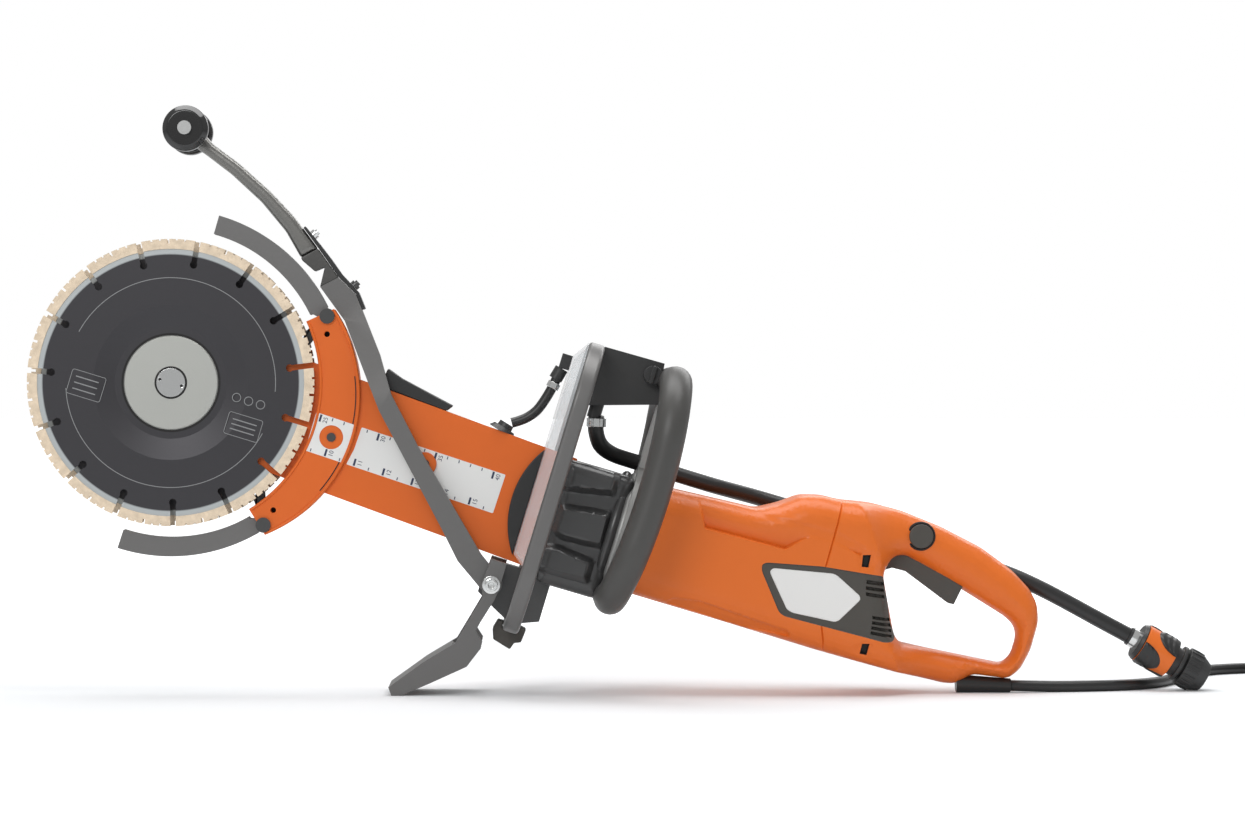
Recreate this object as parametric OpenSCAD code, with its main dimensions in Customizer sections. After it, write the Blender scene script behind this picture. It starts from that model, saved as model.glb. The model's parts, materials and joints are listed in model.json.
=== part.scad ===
// Hand-held twin-blade power cutter, standing on its fold-out leg.
// Millimetres, +Z up, blades at -X, rear handle at +X, the left side of the tool at -Y.
// The origin is on the floor under the middle of the tool.
// The tool is drawn in its own frame and then tipped: u along the housing axis from the
// blade shaft towards the rear handle, y sideways, v across the axis and upwards.

/* [Stance] */
// Slope of the housing below the horizontal, in degrees
tilt = 17; // [16:0.5:18]
// Height of the blade shaft above the floor
blade_z = 249; // [245:1:255]
// Place of the blade shaft along X
blade_x = -289; // [-295:1:-283]

/* [Blades] */
// Outer radius of the cutting segments
blade_r = 115; // [112:1:116]
// Radius where the steel core ends and the segments start
core_r = 107; // [104:1:108]
// Radius of the small hole that ends each slot
keyhole_r = 3; // [2:0.5:4]
// Distance of those holes from the blade shaft
keyhole_at = 96; // [92:1:98]
// Width of the slots in the rim
slot_w = 4.5; // [3:0.5:6]
// Slots in each blade
slot_count = 15; // [12:1:18]
// Outer face of the core's rim, from the middle plane
rim_y = 12.2; // [12:0.1:12.5]
// Outer face of the core's recessed hub
hub_y = 9.4; // [9.2:0.1:9.5]
// Thickness of the steel core
core_t = 2; // [1.6:0.1:2]
// Radius of the clamping flanges
flange_r = 38; // [34:1:42]

/* [Cutting arm] */
// Half the height of the arm
arm_half = 47.6; // [46:0.2:48]
// How much steeper the arm is than the housing, in degrees
arm_drop = 3.1; // [2.5:0.1:3.5]
// Height of the arm's middle line over the blade shaft
arm_rise = 6.8; // [6:0.1:7]
// Outer face of the arm, from the middle plane
arm_y = 8.6; // [8.2:0.1:8.7]

/* [Guard] */
// Inner radius of the blade guard
guard_in = 119; // [118:0.5:120]
// Radius of the guard's outer edge
guard_out = 121.5; // [121:0.5:122]
// Distance of that edge's centre behind the blade shaft
guard_shift = 31.7; // [31:0.1:32]
// Half angle that the guard covers
horn_angle = 41.3; // [41:0.1:42]
// Outer face of the guard, from the middle plane
guard_y = 11.4; // [11.2:0.1:11.6]

/* [Guide arm] */
// Radius of the guide rollers
roller_r = 18.3; // [16:0.1:20]
// Width of one roller
roller_w = 13; // [10:1:14]
// Gap between the two rollers
roller_gap = 31; // [30:1:36]

/* [Support leg] */
// Width of the foot
foot_w = 68; // [66:2:70]
// Thickness of each of the two cheeks
cheek_t = 8; // [6:0.5:8]

/* [Shield] */
// Front of the shield's rim
rim_u = 311; // [311:0.5:312]
// Depth of the rim along the tool
rim_depth = 13; // [12:0.5:14]
// Half the width of the shield
shield_half = 95; // [90:1:100]
// Top and bottom of the shield
shield_top = 129; // [128:1:130]
shield_bottom = -110; // [-111:1:-109]

/* [Drive] */
// Height of the motor shaft
motor_v = -10; // [-10.5:0.5:-9.5]
// Place of the drive pulley
drive_u = 349; // [348.5:0.5:349.5]
// Radius of the pulley between the blades
driven_r = 22; // [21:0.5:22]
// Radius of the pulley in the gearbox
drive_r = 11; // [10.5:0.5:11]
// Thickness of the belt
belt_t = 3; // [2.5:0.5:3]

/* [Handles] */
// Radius of the front handle's tube
tube_r = 13.5; // [13:0.5:13.5]
// Middle of the front handle along the tool
loop_u = 390; // [390:0.5:391]
// Half the width of the front handle, to the tube's middle
loop_half = 98.5; // [90:0.5:105]
// Half the width of the motor housing
body_half = 44; // [43.5:0.5:44]
// Half the width of the rear grip
grip_half = 17; // [16.5:0.5:18]

/* [Hoses and cord] */
// Radius of the supply hose
hose_r = 6.5; // [6:0.5:7]
// Radius of the short hose on the arm
arm_hose_r = 4; // [3.5:0.5:4.5]
// Radius of the power cord
cord_r = 4.5; // [4:0.5:5]
// Middle radius of the coil of cord
coil_r = 50; // [48:1:52]

/* [Hidden] */
$fn = 64;
FINE = 0.05;                 // running clearance on a radius
FAR = 400;                   // longer than any cut
pivot = [292.7, -78.7];      // bolt that carries the leg and the guide arm
bolt_r = 5;
arbor_r = 8;
bearing_r = 15;
segment_y = [9.7, 13.2];     // inner and outer faces of the cutting segments
nose_y = 6.6;                // outer face of the arm between the blades
cavity_y = 4.8;              // half the belt space
flap_pin = [104.2, 87.4];
flap_pin_r = 3.5;
flap_r = [124, 139.4];
bosses = [[135.7, -4.3], [213.6, -2.8]];
boss_y = 11.6;                // outer face of the bosses, from the middle plane
roller_at = [-47, 197.6];
guide_y = [-24, -13];        // where the guide arm passes the cutting arm
drive_at = [drive_u, motor_v];
shaft_r = 5;
gear_r = [15, 20.5];           // inner and outer radius of the bevel teeth
gearbox_u = [322, 378];
bracket_u = [378, 384];
loop_v = [-60.5, 117.5];
loop_corner = 45;
tap_at = [367, 118.4];
elbow_at = [295.5, 99.5];
grommet_at = [266, 43.6];
button_at = [609.6, 58];
button_r = 9.6;
trigger_pin = [600, 45];
trigger_pin_r = 2.5;
trigger_travel = 8;
boot_x = [340, 385];
boot_r = [7.4, 5.6];
coupling_at = [493.7, 20, 38.6];
coupling_slope = 29.2;
coil_at = [678, 150];
plug_at = [728, 150 + coil_r + cord_r];

// The point of the side view, as [u, v], that stands on the floor at x
function on_floor(x) = [(x - blade_x) * cos(tilt) + blade_z * sin(tilt),
                        (x - blade_x) * sin(tilt) - blade_z * cos(tilt)];

// Outlines on the side view, as [u, v]
housing_side = [[384, -50], [390, -53], [556, -53], [541, 67], [509, 61.5], [478.5, 41],
                [405, 36], [384, 35]];
handle_side = [[556, -53], [628, -51], [663, -49.6], [673, -47], [683, -36], [712, -31],
               [719, -21], [722.5, -3.6], [722, 20], [717, 33], [708, 42.5], [690, 53],
               [660, 63.5], [624, 70], [590, 73], [565, 72], [541, 67]];
window_side = [[588.5, 20], [591, 30], [594, 36], [602, 40], [654, 27], [695.5, 15.9],
               [704, 11], [708, 3], [708, -12], [702.5, -20.6], [619, -28.5], [612, -24]];
trigger_side = [[590, 23], [592, 31], [595, 37], [594, 50], [606, 50], [612, 40], [654.5, 29],
                [652, 13.5], [648, 13], [608, 27.5], [596, 27]];
panel_side = [[492.6, -0.6], [498, 3.6], [587, 18.6], [611, -24], [602, -30.5], [519, -33]];
body_plan = [[384, body_half], [575, body_half], [598, 21], [625, 18.5], [660, grip_half],
             [730, grip_half]];
bridge_side = [[324, 80], [324, 129], [373.5, 130], [378, 97]];
leg_side = [[286.6, -58.8], [299.5, -59], [299.6, -82], [298.5, -90], [292.8, -110.6],
            [291.6, -117.7], [299, -124], [299.4, -129.6], [292.9, -146.7], [271, -166],
            on_floor(-104), on_floor(-111.5), [238.2, -180.5], [260, -152], [279, -131], [283.5, -112],
            [289, -90], [285, -81]];
guide_side = [[91.5, 108.4], [103.3, 119.9], [121, 110.7], [154, 70], [172, 42.5],
              [204.9, 8.9], [278, -58.5], [298, -72], [286, -85], [261.5, -68.9],
              [241.7, -48], [166.5, 27.4], [142, 58.5], [118.5, 88]];
tip_side = [[-23.4, 192.6], [1, 184], [30.4, 170.5], [55.8, 156], [80.8, 137.3],
            [69.8, 126.4], [52.2, 142.9], [26.9, 159.6], [-2.8, 174], [-27, 183]];
knuckle_side = [[69.8, 126.4], [80.8, 137.3], [103.3, 119.9], [91.5, 108.4], [90.5, 124.5],
                [84, 119], [72, 124.2]];
strap_side = [[64.9, 149.8], [66, 151.6], [82.8, 140.3], [94, 132.3], [105.6, 123.3],
              [122.9, 113.2], [131.6, 102.4], [129.4, 100.6], [121.1, 110.9], [103.5, 120.1],
              [81, 137.75]];

// Routes of the hoses and the cord, as [x, y, z]
hose_route_tool = [[334, 0, 74], [337, 3, 63], [344, 9, 53], [355, 17, 48.6], [370, 23, 47.8],
                   [390, 27, 48], [415, 30, 47.8], [440, 35, 47.8], [460, 43, 48.3],
                   [478, 50, 48.8], [500, 52.5, 49], [530, 53, 49], [560, 53, 49],
                   [585, 50, 49], [610, 42, 49.2], [640, 34, 49.6], [668, 28, 50],
                   [695, 24, 49], [720, 22, 45.7], [745, 21, 41], [770, 20, 35.8],
                   [798, 20, 30.2]];
arm_hose_route = [[294.5, 0, 93], [293, 0, 84], [290.5, 0, 74], [287, 0, 64.5],
                  [281.5, 0, 57], [275.5, 0, 52], [270.5, 0, 48.8]];
cord_route = [[385, 0, 5.6], [400, 1, 5.1], [420, 3, 4.6], [445, 7, 4.5], [470, 14, 4.5],
              [492, 26, 4.5], [510, 44, 4.5], [524, 68, 4.5], [536, 96, 4.5], [548, 126, 4.5],
              [563, 154, 4.5], [584, 178, 4.5], [612, 194, 4.5], [644, 202, 4.5],
              [678, 204.5, 4.5]];
tail_route = [[678, 204.5, 13.5], [694, 204.5, 13.8], [710, 204.5, 15], [728, 204.5, 17]];

// ---------- placing ----------

module tool() translate([blade_x, 0, blade_z]) rotate([0, tilt, 0]) children();
// A drawing on the side view, from y0 to y1
module side(y0, y1) rotate([90, 0, 0]) translate([0, 0, -y1]) linear_extrude(y1 - y0) children();
// A drawing on the front view, as [y, v], from u0 to u1
module cross(u0, u1) translate([u0, 0, 0]) rotate([90, 0, 90]) linear_extrude(u1 - u0) children();
module both_sides() for (s = [0, 1]) mirror([0, s, 0]) children();
module disc(r, y0, y1, at = [0, 0]) translate([at[0], y1, at[1]]) rotate([90, 0, 0])
    cylinder(r = r, h = y1 - y0);
module rod_u(r, u0, u1, v = 0, y = 0) translate([u0, y, v]) rotate([0, 90, 0])
    cylinder(r = r, h = u1 - u0);
function polar(r, a) = [r * cos(a), r * sin(a)];

// ---------- swept tubes ----------

function unit(v) = v / norm(v);
function mixed(a, b, c, d, t) = 0.5 * (2 * b + (c - a) * t
    + (2 * a - 5 * b + 4 * c - d) * t * t + (3 * b - a - 3 * c + d) * t * t * t);
// A smooth line through the points, with n steps between each pair
function smooth(p, n) = [for (i = [0 : len(p) - 2]) for (k = [0 : n - 1])
    mixed(p[max(i - 1, 0)], p[i], p[i + 1], p[min(i + 2, len(p) - 1)], k / n),
    p[len(p) - 1]];
function along(p, i) = unit(p[min(i + 1, len(p) - 1)] - p[max(i - 1, 0)]);
function ring(p, i, r, sides, up) = let (t = along(p, i), n = unit(cross(up, t)), b = cross(t, n))
    [for (k = [0 : sides - 1]) p[i] + r * (cos(360 * k / sides) * n + sin(360 * k / sides) * b)];
module tube(p, r, sides, up) {
    last = len(p) - 1;
    points = [for (i = [0 : last]) each ring(p, i, r, sides, up)];
    walls = [for (i = [0 : last - 1]) for (k = [0 : sides - 1])
        let (a = i * sides + k, b = i * sides + (k + 1) % sides)
        each [[a, a + sides, b + sides], [a, b + sides, b]]];
    first_cap = [for (k = [0 : sides - 1]) k];
    last_cap = [for (k = [sides - 1 : -1 : 0]) last * sides + k];
    polyhedron(points, concat(walls, [first_cap, last_cap]));
}

// ---------- blades ----------

module slots_2d() for (i = [0 : slot_count - 1]) rotate(i * 360 / slot_count) {
    translate([keyhole_at, -slot_w / 2]) square([blade_r, slot_w]);
    translate([keyhole_at, 0]) circle(keyhole_r);
}
// A dished steel disc: a hub recessed inwards, and a rim that stands out
module blade() difference() {
    rotate([90, 0, 0]) rotate_extrude($fn = 120) polygon([
        [12.7, hub_y], [12.7, hub_y - core_t], [45, hub_y - core_t], [62, rim_y - core_t],
        [core_r, rim_y - core_t], [core_r, rim_y], [62, rim_y], [45, hub_y]]);
    side(-20, 0) slots_2d();
}
module blade_left() color("#3a3a3c") tool() blade();
// The right blade is turned by half a slot, so that no slot lines up with one on the left
module half_slot_on() rotate([0, 180 / slot_count, 0]) children();
module blade_right() color("#3a3a3c") tool() half_slot_on() mirror([0, 1, 0]) blade();
module segment_ring() side(-segment_y[1], -segment_y[0]) difference() {
    circle(blade_r, $fn = 120);
    circle(core_r, $fn = 120);
    slots_2d();
    for (i = [0 : slot_count - 1], n = [[5.2, 1.6, 1.6], [8.6, 1, 1.8], [12, 3.6, 2], [15.4, 1.2, 1.6],
                                         [18.8, 1.8, 1.8]])
        rotate((i + n[0] / 24) * 360 / slot_count)
            translate([blade_r - n[1], -n[2] / 2]) square([5, n[2]]);
}
module diamond_segments() color("#c4b293") tool() {
    segment_ring();
    half_slot_on() mirror([0, 1, 0]) segment_ring();
}
module blade_flanges() color("#a9aaa5") tool() both_sides() rotate([90, 0, 0])
    rotate_extrude($fn = 96) polygon([
        [arbor_r, 6.9], [16, 6.9], [16, hub_y - core_t], [12.7, hub_y - core_t], [12.7, hub_y],
        [flange_r, hub_y], [flange_r - 1, hub_y + 1.3], [4, hub_y + 1.3], [4, 9], [arbor_r, 9]]);
module centre_bolts() color("#d8d8d6") tool() both_sides() difference() {
    union() {
        disc(11.5, -11.8, -hub_y - 1.3);
        disc(4, -hub_y - 1.3, -3);
    }
    for (a = [0, 180]) disc(1.2, -12, -10.9, polar(9, a));
}
module arbor_shaft() color("#9a9a98") tool() difference() {
    disc(arbor_r, -9, 9);
    both_sides() disc(4, -9, -3);
}
module pulley(r, bore) difference() {
    disc(r, -4.5, 4.5);
    disc(bore, -5, 5);
}
module driven_pulley() color("#77787a") tool() pulley(driven_r - 0.3, arbor_r);
module bearing(r, bore, y0, y1) difference() {
    disc(r, y0, y1);
    disc(bore, y0 - 1, y1 + 1);
}
module shaft_bearing(u0) translate([u0, 0, motor_v]) rotate([0, 90, 0]) difference() {
    cylinder(r = 12, h = 5);
    translate([0, 0, -1]) cylinder(r = shaft_r + FINE, h = 7);
}
module bearings() color("#8d8e90") tool() {
    both_sides() bearing(bearing_r, arbor_r + FINE, -nose_y, -cavity_y);
    both_sides() translate([drive_at[0], 0, drive_at[1]]) bearing(11, shaft_r + FINE, -40, -33);
    shaft_bearing(gearbox_u[1] - 5);
    shaft_bearing(535);
}

// ---------- belt drive and motor ----------

module belt_loop(grow) hull() {
    circle(driven_r + grow);
    translate(drive_at) circle(drive_r + grow);
}
module drive_belt() color("#2b2b2b") tool() side(-4, 4) difference() {
    belt_loop(belt_t);
    belt_loop(0);
}
module drive_pulley() color("#77787a") tool() translate([drive_at[0], 0, drive_at[1]])
    pulley(drive_r - 0.3, shaft_r);
// Shaft with the large bevel gear, its teeth drawn as a smooth cone
module crown_gear() color("#7c7d80") tool() translate([drive_at[0], 0, drive_at[1]]) {
    disc(shaft_r, -38, 38);
    rotate([-90, 0, 0]) rotate_extrude() polygon([
        [shaft_r - 0.5, 6], [gear_r[0], gear_r[0] / 3 + 0.35], [gear_r[1], gear_r[1] / 3 + 0.35],
        [gear_r[1], 12], [12, 12], [12, 22], [shaft_r - 0.5, 22]]);
}
module motor_shaft() color("#8f9092") tool() {
    translate([drive_u + gear_r[0], 0, motor_v]) rotate([0, 90, 0]) cylinder(
        r1 = gear_r[0] / 3 - 0.1, r2 = gear_r[1] / 3 - 0.1, h = gear_r[1] - gear_r[0]);
    rod_u(shaft_r, drive_u + gear_r[0] + 2, 540, motor_v);
}
module on_shaft(r, u0, u1) difference() {
    rod_u(r, u0, u1, motor_v);
    rod_u(shaft_r, u0 - 1, u1 + 1, motor_v);
}
module rotor_core() color("#a5683c") tool() on_shaft(25, 420, 480);
module cooling_fan() color("#4a4a4a") tool() {
    on_shaft(11, 500, 522);
    difference() {
        on_shaft(35, 500, 502.5);
        rod_u(11, 499, 504, motor_v);
    }
    translate([502.5, 0, motor_v]) for (i = [0 : 8]) rotate([i * 40, 0, 0])
        translate([0, -1.2, 12]) cube([18, 2.4, 22]);
}
module stator() color("#8b8a86") tool() difference() {
    rod_u(40.8, 412, 488, motor_v);
    rod_u(27, 411, 489, motor_v);
}

// ---------- cutting arm, guard and flaps ----------

arm_end = 327;
module arm_outline() difference() {
    union() {
        rotate(-arm_drop) translate([60, arm_rise - arm_half]) square([arm_end - 60, 2 * arm_half]);
        circle(34);
        polygon([[-6, 33], [0, 34], [68, 51], [68, -45], [0, -34], [-6, -33]]);
    }
    rotate(-arm_drop) translate([arm_end, -FAR / 2]) square([FAR, FAR]);
}
module posts(r, y0, y1) for (b = bosses) disc(r, y0, y1, b);
module arm_plate() difference() {
    union() {
        side(-nose_y, -cavity_y) arm_outline();
        side(-arm_y, -nose_y) difference() {
            arm_outline();
            circle(guard_in);
        }
        for (b = bosses) disc(9, -boss_y, -arm_y, b);
    }
    disc(bearing_r, -10, 0);
    posts(2, -20, 0);
}
module arm_plate_left() color("#d4662b") tool() arm_plate();
module arm_plate_right() color("#d4662b") tool() mirror([0, 1, 0]) arm_plate();
// Edge strips and posts that hold the plates apart and leave the belt space open
module arm_spacer() color("#9fa0a2") tool() difference() {
    union() {
        side(-cavity_y, cavity_y) difference() {
            arm_outline();
            offset(delta = -9) arm_outline();
            translate([-60, -60]) square([90, 120]);
            translate([310, -100]) square(200);
        }
        posts(6, -cavity_y, cavity_y);
    }
    posts(2, -20, 20);
}
module arm_fasteners() color("#3a3a3a") tool() {
    for (b = bosses) {
        disc(2, -boss_y, boss_y, b);
        both_sides() disc(3.6, -boss_y - 1.2, -boss_y, b);
    }
    for (s = [1, -1]) {
        at = [flap_pin[0], s * flap_pin[1]];
        disc(flap_pin_r, -guard_y, guard_y, at);
        both_sides() disc(6, -guard_y - 2.4, -guard_y, at);
    }
}
module guard_outline() intersection() {
    difference() {
        translate([guard_shift, 0]) circle(guard_out, $fn = 120);
        circle(guard_in, $fn = 120);
    }
    polygon([[0, 0], polar(FAR, horn_angle), polar(FAR, -horn_angle)]);
}
module blade_guard() color("#d4662b") tool() difference() {
    union() {
        both_sides() side(-guard_y, -arm_y) guard_outline();
        side(-arm_y, arm_y) difference() {
            guard_outline();
            translate([guard_shift, 0]) circle(guard_out - 2.5, $fn = 120);
            arm_outline();
            for (s = [1, -1]) rotate(s * 45) translate([0, -30]) square([FAR, 60]);
        }
    }
    for (s = [1, -1]) {
        disc(flap_pin_r, -20, 20, [flap_pin[0], s * flap_pin[1]]);
        disc(2.3, -20, 20, [108.3, s * 73.7]);
    }
    disc(9, -20, 20, bosses[0]);
}
module water_nozzles() color("#2a2a2a") tool() for (s = [1, -1]) {
    side(-5, 5) polygon([polar(104, s * 30.6), polar(109, s * 30), polar(guard_in, s * 34),
        polar(guard_in + 3, s * 36), polar(guard_in + 3, s * 39), polar(guard_in - 4, s * 38),
        polar(110, s * 34.5), polar(104, s * 32)]);
    side(-arm_y, arm_y) polygon([polar(guard_in + 0.5, s * 35.5), polar(guard_in + 4, s * 35.5),
        polar(guard_in + 4, s * 38.5), polar(guard_in + 0.5, s * 38.5)]);
}
module arm_deflector() color("#262626") tool() side(-9, 9) difference() {
    polygon([[163, 62], [176, 57.5], [222, 48.5], [216, 40], [160, 42]]);
    arm_outline();
}
module flap(s) difference() {
    union() {
        side(-8.2, 8.2) intersection() {
            difference() {
                circle(flap_r[1], $fn = 120);
                circle(flap_r[0], $fn = 120);
            }
            polygon([[0, 0], polar(FAR, s * 43), polar(FAR, s * 66), polar(FAR, s * 91)]);
        }
        disc(6.4, -8.2, 8.2, [flap_pin[0], s * flap_pin[1]]);
        side(-8.2, 8.2) polygon([polar(norm(flap_pin) + 3, s * 40), polar(norm(flap_pin) + 3, s * 44),
            polar(flap_r[0], s * 44), polar(norm(flap_pin) - 3, s * 39)]);
    }
    disc(flap_pin_r + FINE, -20, 20, [flap_pin[0], s * flap_pin[1]]);
}
module splash_flap_upper() color("#6b6966") tool() flap(1);
module splash_flap_lower() color("#6b6966") tool() flap(-1);

// ---------- shield ----------

module shield_outline() offset(r = 55, $fn = 48)
    translate([-shield_half + 55, shield_bottom + 55])
        square([2 * shield_half - 110, shield_top - shield_bottom - 110]);
module shield_rim() color("#5e5c5a") tool() cross(rim_u, rim_u + rim_depth) difference() {
    shield_outline();
    offset(delta = -7) shield_outline();
}
lens_bottom = -55;
gasket_y = 12.6;
// Clear dished window between the rim and the gasket
module lens_section(inset) intersection() {
    offset(delta = -inset) shield_outline();
    translate([-FAR / 2, lens_bottom + inset / 2]) square([FAR, FAR]);
}
module shield_lens() color("#dfe6ea", 0.4) tool() difference() {
    hull() {
        cross(rim_u - 0.4, rim_u) lens_section(1);
        cross(rim_u - 9, rim_u - 8.6) lens_section(14);
    }
    hull() {
        cross(rim_u - 0.3, rim_u + 0.1) lens_section(4);
        cross(rim_u - 7, rim_u - 6.6) lens_section(16);
    }
    translate([rim_u - 20, -gasket_y, -70]) cube([40, 2 * gasket_y, 113]);
}
module shield_gasket() color("#3c3b3a") tool() difference() {
    side(-gasket_y, gasket_y) intersection() {
        translate([365, -8]) circle(77);
        translate([280, -70]) square([rim_u - 9 - 280, 140]);
    }
    side(-arm_y, arm_y) arm_outline();
}
module clip_outline() polygon([[304, -113], [307, -121], [322, -125], [324, -119], [329, -117],
                               [330, -106], [324, -105], [311, -105], [306, -105]]);
module shield_clip() color("#4f4e4c") tool() difference() {
    side(-12, 12) clip_outline();
    cross(rim_u, rim_u + rim_depth) shield_outline();
}

// ---------- guide arm ----------

// Sideways place of the guide arm by height: on the middle plane above, at the left below
module guide_sideways() rotate([90, 0, 90]) translate([0, 0, -50]) linear_extrude(500)
    polygon([[-6, 150], [6, 150], [6, 96], [guide_y[1], 52], [guide_y[1], -100],
             [guide_y[0], -100], [guide_y[0], 47], [-6, 91]]);
module guide_arm() color("#5e5c5a") tool() difference() {
    intersection() {
        union() {
            side(-40, 40) polygon(guide_side);
            disc(8.5, -40, 40, pivot);
        }
        guide_sideways();
    }
    disc(bolt_r + FINE, -40, 40, pivot);
}
module guide_knuckle() color("#3f3e3d") tool() side(-6, 6) polygon(knuckle_side);
module guide_strap() color("#2a2a2a") tool() side(-6, 6) polygon(strap_side);
module screw_head(at, slope) translate([at[0], 0, at[1]]) rotate([0, slope, 0]) {
    cylinder(r = 4, h = 3);
    cylinder(r = 2.4, h = 5);
}
module strap_screw() color("#333333") tool() screw_head([117.1, 116.75], 30.3);
module roller_axle() disc(3.5, -roller_gap / 2 - roller_w - 3, roller_gap / 2 + roller_w + 3,
                          roller_at);
module guide_tip() color("#6b6966") tool() difference() {
    union() {
        side(-6.5, 6.5) polygon(tip_side);
        disc(7.5, -roller_gap / 2 + 0.6, roller_gap / 2 - 0.6, roller_at);
        side(-6.5, 6.5) polygon([[-44, 204], [-20, 191], [-25, 183], [-50, 191]]);
    }
    disc(3.5, -40, 40, roller_at);
}
module tip_fasteners() color("#b9babb") tool() {
    roller_axle();
    both_sides() disc(5.5, -roller_gap / 2 - roller_w - 4.5, -roller_gap / 2 - roller_w - 0.4,
                      roller_at);
    screw_head([74.07, 146.35], 33.9);
}
module rollers() color("#1f1f20") tool() translate([roller_at[0], 0, roller_at[1]]) both_sides()
    rotate([90, 0, 0]) rotate_extrude() polygon([
        [3.5 + FINE, roller_gap / 2], [roller_r - 2, roller_gap / 2],
        [roller_r, roller_gap / 2 + 2], [roller_r, roller_gap / 2 + roller_w - 4],
        [roller_r - 4, roller_gap / 2 + roller_w], [3.5 + FINE, roller_gap / 2 + roller_w]]);

// ---------- leg ----------

module leg_bracket() color("#3f3f40") tool() difference() {
    side(-12, 12) polygon([[284, -66], [284, -88], [300, -97], [311, -102.5], [324, -102.5],
                           [338, -97], [338, -60.2], [322, -60.2], [300, -60.4]]);
    disc(bolt_r, -40, 40, pivot);
}
module pivot_bolt() color("#c9c9c6") tool() difference() {
    union() {
        disc(bolt_r, -foot_w / 2, foot_w / 2, pivot);
        disc(7.2, -foot_w / 2 - 1.4, -foot_w / 2 - 0.3, pivot);
        disc(bolt_r, -foot_w / 2 - 4.5, -foot_w / 2, pivot);
        disc(bolt_r + 2.5, foot_w / 2 + 0.3, foot_w / 2 + 4.5, pivot);
        disc(bolt_r, foot_w / 2 - 1, foot_w / 2 + 1, pivot);
    }
    translate([0, -foot_w / 2 - 1.5, 0]) translate([pivot[0], 0, pivot[1]]) rotate([90, 0, 0])
        cylinder(r = 2.6, h = 5, $fn = 6);
}
module support_leg() color("#5e5c5a") tool() difference() {
    union() {
        both_sides() side(-foot_w / 2, -foot_w / 2 + cheek_t) polygon(leg_side);
        side(-foot_w / 2, foot_w / 2) difference() {
            polygon(leg_side);
            translate(pivot) circle(58);
        }
    }
    disc(bolt_r + FINE, -60, 60, pivot);
}

// ---------- gearbox, handles and bridge ----------

module loop(r) translate([loop_u, 0, (loop_v[0] + loop_v[1]) / 2]) rotate([90, 0, 90]) {
    w = loop_half;
    h = (loop_v[1] - loop_v[0]) / 2;
    c = loop_corner;
    for (q = [0 : 3]) {
        sx = (q == 0 || q == 3) ? 1 : -1;
        sy = q < 2 ? 1 : -1;
        translate([sx * (w - c), sy * (h - c), 0]) rotate([0, 0, 90 * q])
            rotate_extrude(angle = 90) translate([c, 0]) circle(r, $fn = 40);
    }
    for (s = [1, -1]) {
        translate([-(w - c), s * h, 0]) rotate([0, 90, 0]) cylinder(r = r, h = 2 * (w - c), $fn = 40);
        translate([s * w, h - c, 0]) rotate([90, 0, 0]) cylinder(r = r, h = 2 * (h - c), $fn = 40);
    }
}
module front_handle() color("#4a4846") tool() loop(tube_r);
module gearbox_section(inset) offset(r = 14 - inset, $fn = 32)
    translate([-32, -46]) square([64, 66]);
module gearbox_housing() color("#2e2d2d") tool() difference() {
    cross(gearbox_u[0], gearbox_u[1]) gearbox_section(0);
    cross(gearbox_u[0] + 5, gearbox_u[1] - 5) gearbox_section(6);
    side(-arm_y, arm_y) arm_outline();
    translate([drive_at[0], 0, drive_at[1]]) disc(11, -40, 40);
    rod_u(12, gearbox_u[1] - 6, gearbox_u[1] + 1, motor_v);
    side(-cavity_y, cavity_y) belt_loop(belt_t + 1);
    loop(tube_r);
}
module handle_bracket() color("#b4b5b3") tool() difference() {
    union() {
        rod_u(56, bracket_u[0], bracket_u[1], motor_v);
        translate([bracket_u[0], -11, 30]) cube([bracket_u[1] - bracket_u[0], 22, 84]);
        translate([bracket_u[0], -11, 104]) cube([12, 22, 12]);
    }
    loop(tube_r);
    rod_u(16, bracket_u[0] - 1, bracket_u[1] + 1, motor_v);
}
module bridge_solid() side(-20, 20) polygon(bridge_side);
module bridge_box() color("#343434") tool() difference() {
    bridge_solid();
    side(-17, 17) offset(delta = -3) polygon(bridge_side);
    disc(3 + FINE, -30, 0, tap_at);
}
module tap_knob() color("#262626") tool() {
    disc(7.4, -31, -20.3, tap_at);
    disc(3, -20.3, -12, tap_at);
    translate([tap_at[0] - 1.6, -34, tap_at[1] - 7]) cube([3.2, 3, 14]);
}
module hose_fittings() color("#262626") tool() {
    // elbow on the front of the shield
    translate([elbow_at[0], 0, elbow_at[1]]) {
        translate([-2, -7, 3]) cube([8.4, 14, 12]);
        rotate([0, -166, 0]) translate([0, 0, -3]) cylinder(r = 5.5, h = 10);
    }
    // grommet on the arm
    difference() {
        translate([grommet_at[0], 0, grommet_at[1]]) rotate([0, 15, 0]) translate([0, 0, -4]) {
            cylinder(r1 = 12, r2 = 9, h = 4);
            cylinder(r1 = 7, r2 = 6, h = 8);
        }
        side(-30, 30) arm_outline();
    }
    // outlet under the bridge
    difference() {
        translate([332, 0, 72]) cylinder(r = 5.5, h = 16);
        bridge_solid();
    }
}
module clamp(at, r, w, slope) translate(at) rotate([0, slope, 0]) difference() {
    union() {
        cylinder(r = r + 1, h = w, center = true);
        translate([-2.5, -r - 5, -w / 2]) cube([5, 5, w]);
    }
    cylinder(r = r, h = w + 1, center = true);
}
module hose_clamps() color("#c4c5c6") tool() {
    clamp([293.7, 0, 87.5], arm_hose_r + 0.2, 5, 11);
    clamp([335.6, 1.5, 69], hose_r + 0.4, 7, -15);
}
module arm_hose() color("#2a2a2a") tool() tube(smooth(arm_hose_route, 3), arm_hose_r, 12, [0, 1, 0]);

// ---------- housings ----------

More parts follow.
